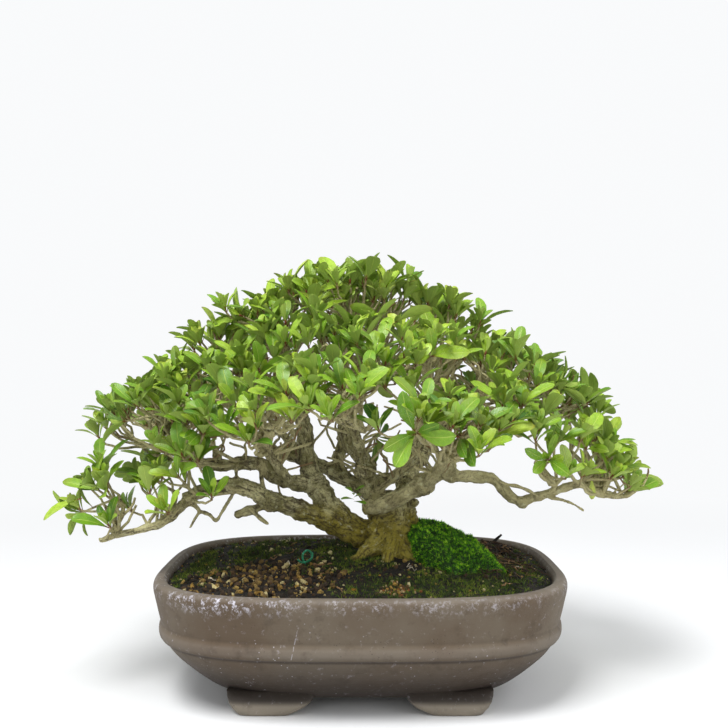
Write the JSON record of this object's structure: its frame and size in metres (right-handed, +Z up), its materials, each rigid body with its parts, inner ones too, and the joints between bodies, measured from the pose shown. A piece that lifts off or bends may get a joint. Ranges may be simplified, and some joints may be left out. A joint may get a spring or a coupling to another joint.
{
  "type": "satsuki azalea bonsai in a pot",
  "caption": "Broad, spreading azalea bonsai with whorled oblanceolate leaves on crooked limbs, planted with a moss cushion in an oval-cornered clay pot on low feet.",
  "frame": {"origin": "on the surface that the pot stands on, below the middle of the whole plant's bounding box, which is within a few millimetres of the pot's middle", "axes": "+X to the right seen from the front, along the pot's long side; +Y away from the viewer; +Z up"},
  "size_m": [0.4601, 0.2862, 0.3244],
  "materials": {
    "clay": "unglazed grey-brown stoneware, matt, with pale lime bloom below the rim",
    "soil": "damp dark soil with tan and orange granules",
    "moss": "fine bright green moss",
    "bark": "dry grey-beige bark with brown specks",
    "leaf": "satin green leaves, paler below, with reddish buds",
    "wire": "green coated wire",
    "screen": "black moulded mesh"
  },
  "bodies": {
    "root": {"pot": "clay", "soil": "soil", "moss_mound": "moss", "wood": "bark", "drain_screen_1": "screen", "drain_screen_2": "screen", "tie_wire": "wire", "spray_01": "leaf", "spray_02": "leaf", "spray_03": "leaf", "spray_04": "leaf", "spray_05": "leaf", "spray_06": "leaf", "spray_07": "leaf", "spray_08": "leaf", "spray_09": "leaf", "spray_10": "leaf", "spray_11": "leaf", "spray_12": "leaf", "spray_13": "leaf", "spray_14": "leaf", "spray_15": "leaf", "spray_16": "leaf", "spray_17": "leaf", "spray_18": "leaf", "spray_19": "leaf", "spray_20": "leaf", "spray_21": "leaf", "spray_22": "leaf", "spray_23": "leaf", "spray_24": "leaf", "spray_25": "leaf", "spray_26": "leaf", "spray_27": "leaf", "spray_28": "leaf", "spray_29": "leaf", "spray_30": "leaf", "spray_31": "leaf", "spray_32": "leaf", "spray_33": "leaf", "spray_34": "leaf", "spray_35": "leaf", "spray_36": "leaf", "spray_37": "leaf", "spray_38": "leaf", "spray_39": "leaf", "spray_40": "leaf", "spray_41": "leaf", "spray_42": "leaf", "spray_43": "leaf", "spray_44": "leaf", "spray_45": "leaf", "spray_46": "leaf"}
  },
  "joints": []
}
